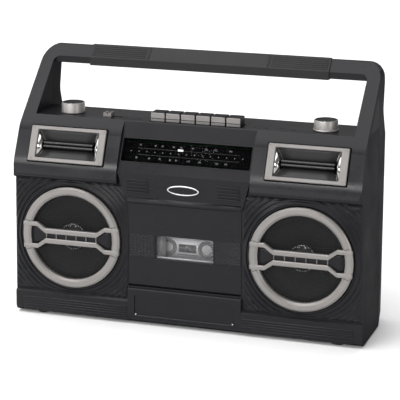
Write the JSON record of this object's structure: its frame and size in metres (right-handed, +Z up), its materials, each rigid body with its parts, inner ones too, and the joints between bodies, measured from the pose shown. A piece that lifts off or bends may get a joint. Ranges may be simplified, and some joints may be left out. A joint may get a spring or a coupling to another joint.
{
  "type": "radio cassette player",
  "caption": "Portable radio-cassette player with carry handle, two round speakers, hinged cassette door, piano keys, dial and antenna.",
  "frame": {"origin": "centre of the bounding box at the bottom of the feet", "axes": "+Z up, +X to the right seen from the front, front faces -Y"},
  "size_m": [0.3798, 0.108, 0.2793],
  "materials": {
    "cabinet_black": "moulded, fine texture",
    "panel_black": "moulded, satin",
    "grip_black": "ribbed, matte",
    "silver_plastic": "satin silver paint on plastic",
    "key_silver": "satin silver paint on plastic",
    "mesh_black": "black perforated steel",
    "cone_paper": "pressed black paper",
    "steel": "zinc plated",
    "ferrite": "sintered ferrite",
    "dial_glass": "polished smoke acrylic",
    "scale_print": "printed card",
    "pointer_white": "moulded white",
    "clear_plastic": "clear polystyrene",
    "tape_shell": "moulded smoke grey",
    "reel_white": "moulded white",
    "rubber": "matte",
    "brass": "turned",
    "board_green": "solder resist",
    "chrome": "polished"
  },
  "bodies": {
    "cabinet": {"front_cabinet": "cabinet_black", "handle_frame": "cabinet_black", "rear_cabinet": "cabinet_black", "handle_grip": "grip_black", "badge": "silver_plastic", "foot_front_left": "rubber", "foot_front_right": "rubber", "foot_rear_left": "rubber", "foot_rear_right": "rubber", "speaker_ring_left": "silver_plastic", "speaker_grille_left": "mesh_black", "driver_frame_left": "steel", "driver_cone_left": "cone_paper", "driver_magnet_left": "ferrite", "tweeter_bezel_left": "silver_plastic", "tweeter_horn_left": "panel_black", "speaker_ring_right": "silver_plastic", "speaker_grille_right": "mesh_black", "driver_frame_right": "steel", "driver_cone_right": "cone_paper", "driver_magnet_right": "ferrite", "tweeter_bezel_right": "silver_plastic", "tweeter_horn_right": "panel_black", "dial_window": "dial_glass", "dial_scale": "scale_print", "volume_control": "steel", "tuning_capacitor": "steel", "key_rod": "steel", "deck_chassis": "steel", "drive_motor": "steel", "drive_belt": "rubber", "main_board": "board_green", "mains_transformer": "steel", "power_inlet": "panel_black"},
    "volume_knob": {"volume_knob": "key_silver"},
    "tuning_knob": {"tuning_knob": "key_silver"},
    "dial_pointer": {"dial_pointer": "pointer_white"},
    "function_switch": {"function_switch": "key_silver"},
    "key_record": {"key_record": "key_silver"},
    "key_play": {"key_play": "key_silver"},
    "key_rewind": {"key_rewind": "key_silver"},
    "key_fast_forward": {"key_fast_forward": "key_silver"},
    "key_stop_eject": {"key_stop_eject": "key_silver"},
    "key_pause": {"key_pause": "key_silver"},
    "cassette_door": {"cassette_door": "cabinet_black", "door_window": "clear_plastic", "cassette_shell": "tape_shell"},
    "supply_reel": {"supply_reel": "reel_white"},
    "take_up_reel": {"take_up_reel": "reel_white"},
    "supply_spindle": {"supply_spindle": "panel_black"},
    "take_up_spindle": {"take_up_spindle": "panel_black"},
    "capstan_flywheel": {"capstan_flywheel": "brass"},
    "motor_pulley": {"motor_pulley": "brass"},
    "head_bridge": {"head_bridge": "steel", "tape_head": "chrome"},
    "pinch_roller": {"pinch_roller": "rubber"},
    "battery_cover": {"battery_cover": "cabinet_black"},
    "antenna_base": {"antenna_base": "chrome"},
    "antenna_tube": {"antenna_tube": "chrome"},
    "antenna_rod": {"antenna_rod": "chrome"}
  },
  "joints": [
    {"name": "volume_turn", "type": "hinge", "parent": "cabinet", "child": "volume_knob", "pos_m": [-0.1373, -0.0059, 0.2135], "axis": [0, 0, 1], "range_deg": [-150, 150]},
    {"name": "tuning_turn", "type": "hinge", "parent": "cabinet", "child": "tuning_knob", "pos_m": [0.1373, -0.0059, 0.2135], "axis": [0, 0, 1], "range_deg": [-320, 230]},
    {"name": "pointer_run", "type": "slide", "parent": "cabinet", "child": "dial_pointer", "axis": [1, 0, 0], "range_m": [-0.0485, 0.0675]},
    {"name": "function_slide", "type": "slide", "parent": "cabinet", "child": "function_switch", "axis": [1, 0, 0], "range_m": [0, 0.009]},
    {"name": "key_record_press", "type": "hinge", "parent": "cabinet", "child": "key_record", "pos_m": [-0.03675, 0.0061, 0.2055], "axis": [1, 0, 0], "range_deg": [0, 7], "stiffness_Nm_per_rad": 0.12, "springref_deg": -6.88},
    {"name": "key_play_press", "type": "hinge", "parent": "cabinet", "child": "key_play", "pos_m": [-0.02045, 0.0061, 0.2055], "axis": [1, 0, 0], "range_deg": [0, 7], "stiffness_Nm_per_rad": 0.12, "springref_deg": -6.88},
    {"name": "key_rewind_press", "type": "hinge", "parent": "cabinet", "child": "key_rewind", "pos_m": [-0.00415, 0.0061, 0.2055], "axis": [1, 0, 0], "range_deg": [0, 7], "stiffness_Nm_per_rad": 0.12, "springref_deg": -6.88},
    {"name": "key_fast_forward_press", "type": "hinge", "parent": "cabinet", "child": "key_fast_forward", "pos_m": [0.01215, 0.0061, 0.2055], "axis": [1, 0, 0], "range_deg": [0, 7], "stiffness_Nm_per_rad": 0.12, "springref_deg": -6.88},
    {"name": "key_stop_eject_press", "type": "hinge", "parent": "cabinet", "child": "key_stop_eject", "pos_m": [0.02845, 0.0061, 0.2055], "axis": [1, 0, 0], "range_deg": [0, 7], "stiffness_Nm_per_rad": 0.12, "springref_deg": -6.88},
    {"name": "key_pause_press", "type": "hinge", "parent": "cabinet", "child": "key_pause", "pos_m": [0.04475, 0.0061, 0.2055], "axis": [1, 0, 0], "range_deg": [0, 7], "stiffness_Nm_per_rad": 0.12, "springref_deg": -6.88},
    {"name": "head_bridge_press", "type": "slide", "parent": "cabinet", "child": "head_bridge", "axis": [0, 0, -1], "range_m": [0, 0.006]},
    {"name": "cassette_door_tilt", "type": "hinge", "parent": "cabinet", "child": "cassette_door", "pos_m": [0, -0.0429, 0.045], "axis": [1, 0, 0], "range_deg": [0, 35]},
    {"name": "capstan_spin", "type": "hinge", "parent": "cabinet", "child": "capstan_flywheel", "pos_m": [0.026, -0.0219, 0.114], "axis": [0, 1, 0], "continuous": true},
    {"name": "motor_pulley_spin", "type": "hinge", "parent": "cabinet", "child": "motor_pulley", "pos_m": [-0.03, -0.0129, 0.066], "axis": [0, 1, 0], "continuous": true},
    {"name": "take_up_spindle_spin", "type": "hinge", "parent": "cabinet", "child": "take_up_spindle", "pos_m": [0.02125, -0.0219, 0.0848], "axis": [0, 1, 0], "continuous": true},
    {"name": "supply_spindle_spin", "type": "hinge", "parent": "cabinet", "child": "supply_spindle", "pos_m": [-0.02125, -0.0219, 0.0848], "axis": [0, 1, 0], "continuous": true},
    {"name": "take_up_reel_spin", "type": "hinge", "parent": "cassette_door", "child": "take_up_reel", "pos_m": [0.02125, -0.03155, 0.0848], "axis": [0, 1, 0], "continuous": true},
    {"name": "supply_reel_spin", "type": "hinge", "parent": "cassette_door", "child": "supply_reel", "pos_m": [-0.02125, -0.03155, 0.0848], "axis": [0, 1, 0], "continuous": true},
    {"name": "pinch_roller_spin", "type": "hinge", "parent": "head_bridge", "child": "pinch_roller", "pos_m": [0.026, -0.0318, 0.126], "axis": [0, 1, 0], "continuous": true},
    {"name": "battery_cover_tilt", "type": "hinge", "parent": "cabinet", "child": "battery_cover", "pos_m": [0, 0.054, 0.024], "axis": [-1, 0, 0], "range_deg": [0, 40]},
    {"name": "antenna_swivel", "type": "hinge", "parent": "cabinet", "child": "antenna_base", "pos_m": [0.16, 0.0487, 0.194], "axis": [0, 0, 1], "range_deg": [-90, 0]},
    {"name": "antenna_tilt", "type": "hinge", "parent": "antenna_base", "child": "antenna_tube", "pos_m": [0.16, 0.0487, 0.201], "axis": [0, 1, 0], "range_deg": [0, 90]},
    {"name": "antenna_extend", "type": "slide", "parent": "antenna_tube", "child": "antenna_rod", "axis": [-1, 0, 0], "range_m": [0, 0.18]}
  ],
  "couplings": [
    {"joint": "pointer_run", "follows": "tuning_turn", "m_per_rad": -0.012},
    {"joint": "head_bridge_press", "follows": "key_play_press", "m_per_rad": 0.049},
    {"joint": "motor_pulley_spin", "follows": "capstan_spin", "ratio": 4.4},
    {"joint": "take_up_spindle_spin", "follows": "capstan_spin", "ratio": 0.109},
    {"joint": "supply_spindle_spin", "follows": "capstan_spin", "ratio": 0.0686},
    {"joint": "take_up_reel_spin", "follows": "capstan_spin", "ratio": 0.109},
    {"joint": "supply_reel_spin", "follows": "capstan_spin", "ratio": 0.0686},
    {"joint": "pinch_roller_spin", "follows": "capstan_spin", "ratio": -0.2667}
  ]
}
